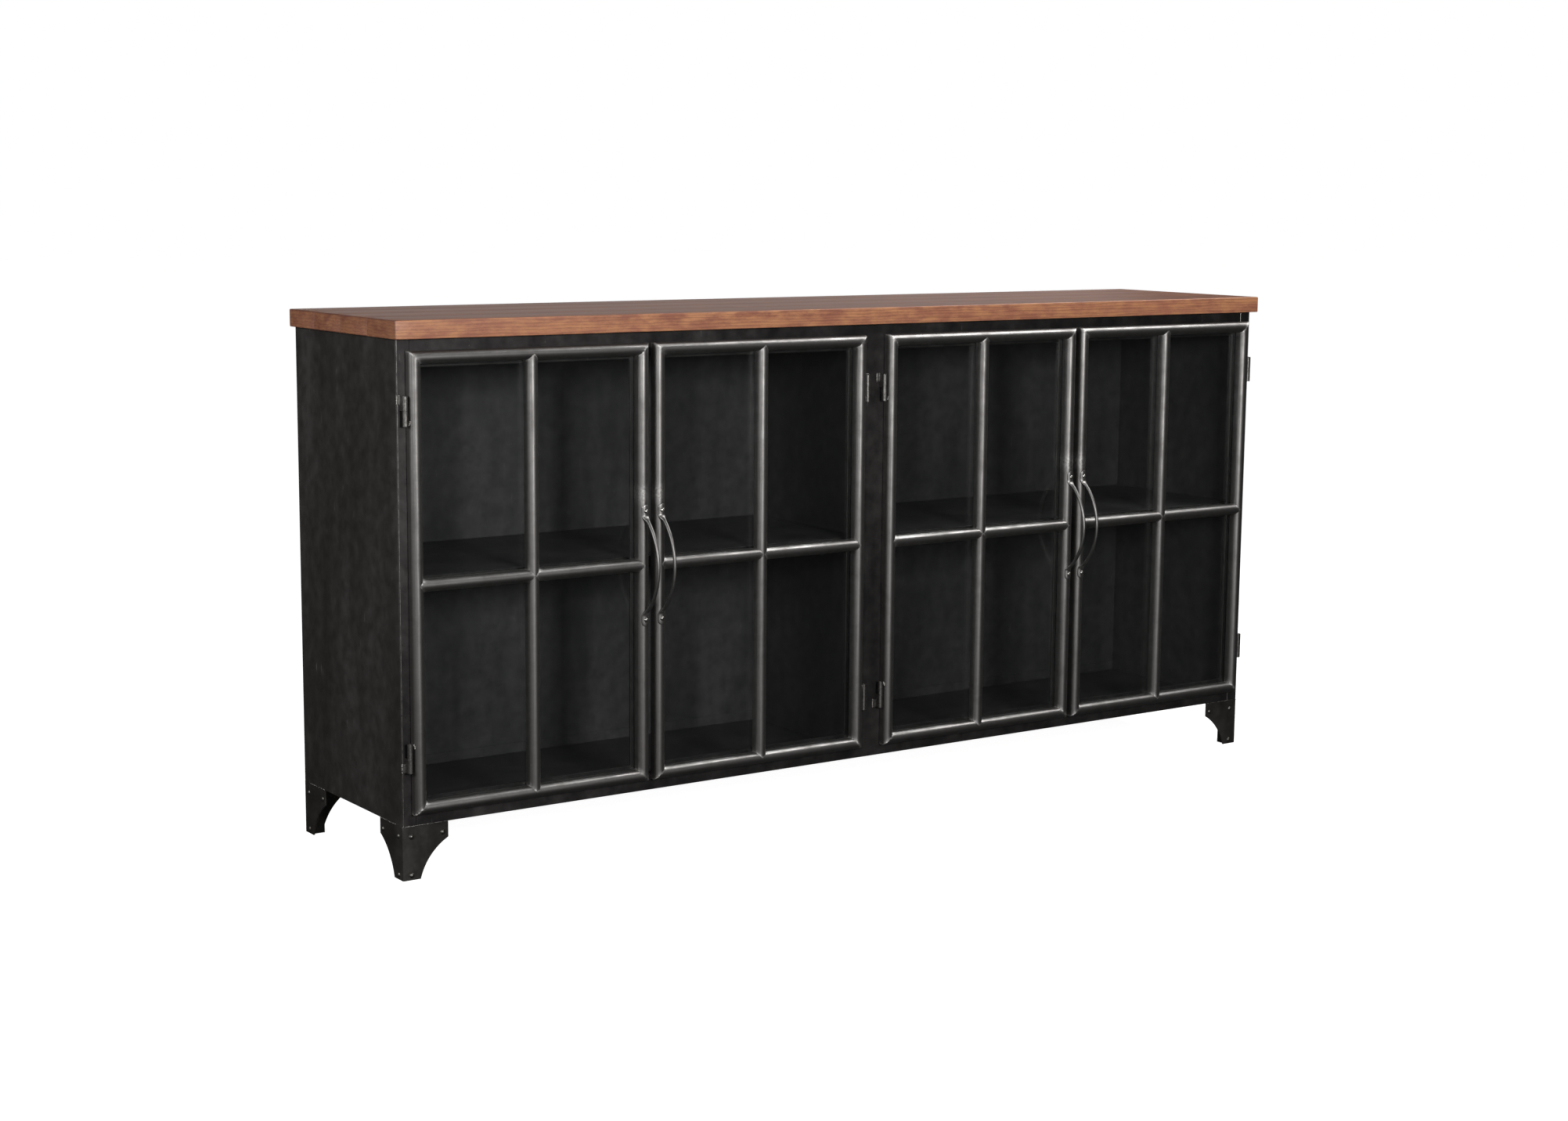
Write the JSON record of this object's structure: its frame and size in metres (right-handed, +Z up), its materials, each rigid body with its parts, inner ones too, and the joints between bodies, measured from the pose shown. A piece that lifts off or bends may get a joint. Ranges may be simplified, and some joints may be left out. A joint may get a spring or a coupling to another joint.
{
  "type": "sideboard buffet",
  "caption": "Industrial sideboard with a plank top, a dark steel body on gusset feet and glazed doors in two pairs, each hung on barrel hinges.",
  "frame": {"origin": "on the floor, midway between the ends and midway between the back of the top and the fronts of the handles", "axes": "+Z up, +X to the right as seen from the front, doors face -Y"},
  "size_m": [1.9, 0.456, 0.914],
  "materials": {
    "plank_wood": "satin oiled hardwood planks",
    "body_steel": "blackened sheet steel, clear waxed",
    "bar_steel": "burnished gunmetal half-round bar",
    "handle_steel": "burnished gunmetal",
    "hinge_steel": "raw steel with weld heat marks",
    "fixings": "burnished steel",
    "glass": "clear float glass"
  },
  "bodies": {
    "carcass": {"top_planks": "plank_wood", "top_screws": "fixings", "foot_rivets": "fixings", "catch_screws": "fixings", "door_catches": "fixings", "hinge_pins": "fixings", "roof_sheet": "body_steel", "back_panel": "body_steel", "floor_pan": "body_steel", "centre_partition": "body_steel", "side_panel_left": "body_steel", "side_panel_right": "body_steel", "shelf_left": "body_steel", "shelf_right": "body_steel", "shelf_cleats": "body_steel", "face_stile_left": "body_steel", "face_stile_right": "body_steel", "face_stile_centre": "body_steel", "face_rail_top": "body_steel", "face_rail_bottom": "body_steel", "leg_tubes": "body_steel", "foot_gusset_front_left": "body_steel", "foot_gusset_front_right": "body_steel", "foot_gusset_rear_left": "body_steel", "foot_gusset_rear_right": "body_steel", "frame_knuckles": "hinge_steel"},
    "left_door": {"left_door_frame": "bar_steel", "left_door_muntins": "bar_steel", "left_door_glass": "glass", "left_door_glazing_stop": "body_steel", "left_door_handle": "handle_steel", "left_door_handle_screws": "fixings", "left_door_knuckles": "hinge_steel", "left_door_strike": "fixings"},
    "mid_left_door": {"mid_left_door_frame": "bar_steel", "mid_left_door_muntins": "bar_steel", "mid_left_door_glass": "glass", "mid_left_door_glazing_stop": "body_steel", "mid_left_door_handle": "handle_steel", "mid_left_door_handle_screws": "fixings", "mid_left_door_knuckles": "hinge_steel", "mid_left_door_strike": "fixings"},
    "mid_right_door": {"mid_right_door_frame": "bar_steel", "mid_right_door_muntins": "bar_steel", "mid_right_door_glass": "glass", "mid_right_door_glazing_stop": "body_steel", "mid_right_door_handle": "handle_steel", "mid_right_door_handle_screws": "fixings", "mid_right_door_knuckles": "hinge_steel", "mid_right_door_strike": "fixings"},
    "right_door": {"right_door_frame": "bar_steel", "right_door_muntins": "bar_steel", "right_door_glass": "glass", "right_door_glazing_stop": "body_steel", "right_door_handle": "handle_steel", "right_door_handle_screws": "fixings", "right_door_knuckles": "hinge_steel", "right_door_strike": "fixings"}
  },
  "joints": [
    {"name": "left_door_hinge", "type": "hinge", "parent": "carcass", "child": "left_door", "pos_m": [-0.9325, -0.173, 0.488], "axis": [0, 0, -1], "range_deg": [0, 170]},
    {"name": "mid_left_door_hinge", "type": "hinge", "parent": "carcass", "child": "mid_left_door", "pos_m": [-0.019, -0.173, 0.488], "axis": [0, 0, 1], "range_deg": [0, 85]},
    {"name": "mid_right_door_hinge", "type": "hinge", "parent": "carcass", "child": "mid_right_door", "pos_m": [0.019, -0.173, 0.488], "axis": [0, 0, -1], "range_deg": [0, 85]},
    {"name": "right_door_hinge", "type": "hinge", "parent": "carcass", "child": "right_door", "pos_m": [0.9325, -0.173, 0.488], "axis": [0, 0, 1], "range_deg": [0, 170]}
  ]
}
